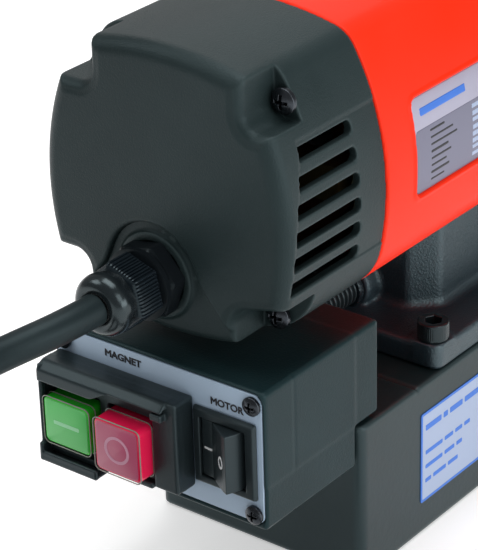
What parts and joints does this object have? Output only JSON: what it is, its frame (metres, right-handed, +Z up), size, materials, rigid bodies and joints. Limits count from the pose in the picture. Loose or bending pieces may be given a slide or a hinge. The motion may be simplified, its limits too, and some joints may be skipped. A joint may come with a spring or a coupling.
{
  "type": "magnetic drill press",
  "caption": "Low-profile drilling machine with an electromagnetic base, horizontal motor, right-angle gear case, lever-fed quill, rear switch box and a supply cord.",
  "frame": {"origin": "centre of the magnet's bottom face, where it clamps to the work", "axes": "+Z up, +X towards the spindle, +Y to the left of someone who faces the spindle's way"},
  "size_m": [0.543, 0.167, 0.232],
  "materials": {
    "orange": "satin orange-red moulded shell",
    "black_plastic": "fine textured black moulding",
    "black_paint": "black powder coat",
    "rubber": "black flexible rubber",
    "steel": "ground steel",
    "dark_steel": "black oxide steel",
    "copper": "enamelled copper",
    "resin": "cast resin",
    "carbon": "pressed carbon",
    "brass": "brass",
    "panel": "light grey-blue printed plate",
    "green": "green translucent button",
    "red": "red translucent button"
  },
  "bodies": {
    "base": {"magnet_body": "black_paint", "frame_casting": "black_paint", "gear_case": "black_paint", "gear_case_cover": "black_paint", "magnet_coil": "copper", "stator": "copper", "magnet_resin_seal": "resin", "frame_bolt_1": "dark_steel", "frame_bolt_2": "dark_steel", "frame_bolt_3": "dark_steel", "frame_bolt_4": "dark_steel", "panel_screw_1": "dark_steel", "panel_screw_2": "dark_steel", "panel_screw_3": "dark_steel", "panel_screw_4": "dark_steel", "motor_housing": "orange", "rear_cap": "black_plastic", "switch_box": "black_plastic", "switch_box_rear_frame": "black_plastic", "magnet_switch": "black_plastic", "motor_switch": "black_plastic", "cable_gland": "black_plastic", "cap_screw_1": "steel", "cap_screw_2": "steel", "cap_screw_3": "steel", "cap_screw_4": "steel", "rear_bearing": "steel", "front_bearing": "steel", "layshaft_bearing_rear": "steel", "layshaft_bearing_front": "steel", "sleeve_bearing_lower": "steel", "sleeve_bearing_upper": "steel", "brush_holder_left": "brass", "brush_holder_right": "brass", "feed_bush_left": "brass", "feed_bush_right": "brass", "carbon_brush_left": "carbon", "carbon_brush_right": "carbon", "conduit": "rubber", "power_cord": "rubber", "power_cord_coil": "rubber", "power_plug": "rubber", "switch_panel": "panel"},
    "armature": {"armature_shaft": "steel", "armature_core": "dark_steel", "commutator": "copper", "cooling_fan": "black_plastic"},
    "layshaft_unit": {"layshaft": "steel", "layshaft_gear": "steel"},
    "sleeve": {"drive_sleeve": "steel"},
    "quill_unit": {"quill": "steel", "spindle_bearing_lower": "steel", "spindle_bearing_upper": "steel"},
    "arbor_spindle": {"spindle": "steel"},
    "feed_handle": {"feed_pinion": "steel", "feed_lever": "steel", "feed_grip": "rubber"},
    "on_button": {"magnet_on_button": "green"},
    "off_button": {"magnet_off_button": "red"},
    "rocker": {"motor_rocker": "black_plastic"}
  },
  "joints": [
    {"name": "armature_spin", "type": "hinge", "parent": "base", "child": "armature", "pos_m": [0, 0, 0.1705], "axis": [1, 0, 0], "continuous": true},
    {"name": "layshaft_spin", "type": "hinge", "parent": "base", "child": "layshaft_unit", "pos_m": [0.06, 0, 0.1455], "axis": [1, 0, 0], "continuous": true},
    {"name": "sleeve_spin", "type": "hinge", "parent": "base", "child": "sleeve", "pos_m": [0.128, 0, 0.16], "axis": [0, 0, 1], "continuous": true},
    {"name": "quill_feed", "type": "slide", "parent": "base", "child": "quill_unit", "axis": [0, 0, -1], "range_m": [0, 0.036]},
    {"name": "spindle_spin", "type": "hinge", "parent": "quill_unit", "child": "arbor_spindle", "pos_m": [0.128, 0, 0.09], "axis": [0, 0, 1], "continuous": true},
    {"name": "feed_turn", "type": "hinge", "parent": "base", "child": "feed_handle", "pos_m": [0.0922, 0, 0.088], "axis": [0, 1, 0], "range_deg": [0, 138]},
    {"name": "on_button_press", "type": "slide", "parent": "base", "child": "on_button", "axis": [1, 0, 0], "range_m": [0, 0.003], "stiffness_N_per_m": 600},
    {"name": "off_button_press", "type": "slide", "parent": "base", "child": "off_button", "axis": [1, 0, 0], "range_m": [0, 0.003], "stiffness_N_per_m": 600},
    {"name": "rocker_tilt", "type": "hinge", "parent": "base", "child": "rocker", "pos_m": [-0.151, -0.0312, 0.08], "axis": [0, 0, 1], "range_deg": [0, 24]}
  ],
  "couplings": [
    {"joint": "layshaft_spin", "follows": "armature_spin", "ratio": -0.25},
    {"joint": "sleeve_spin", "follows": "armature_spin", "ratio": -0.089286},
    {"joint": "spindle_spin", "follows": "armature_spin", "ratio": -0.089286},
    {"joint": "feed_turn", "follows": "quill_feed", "rad_per_m": 66.667}
  ]
}
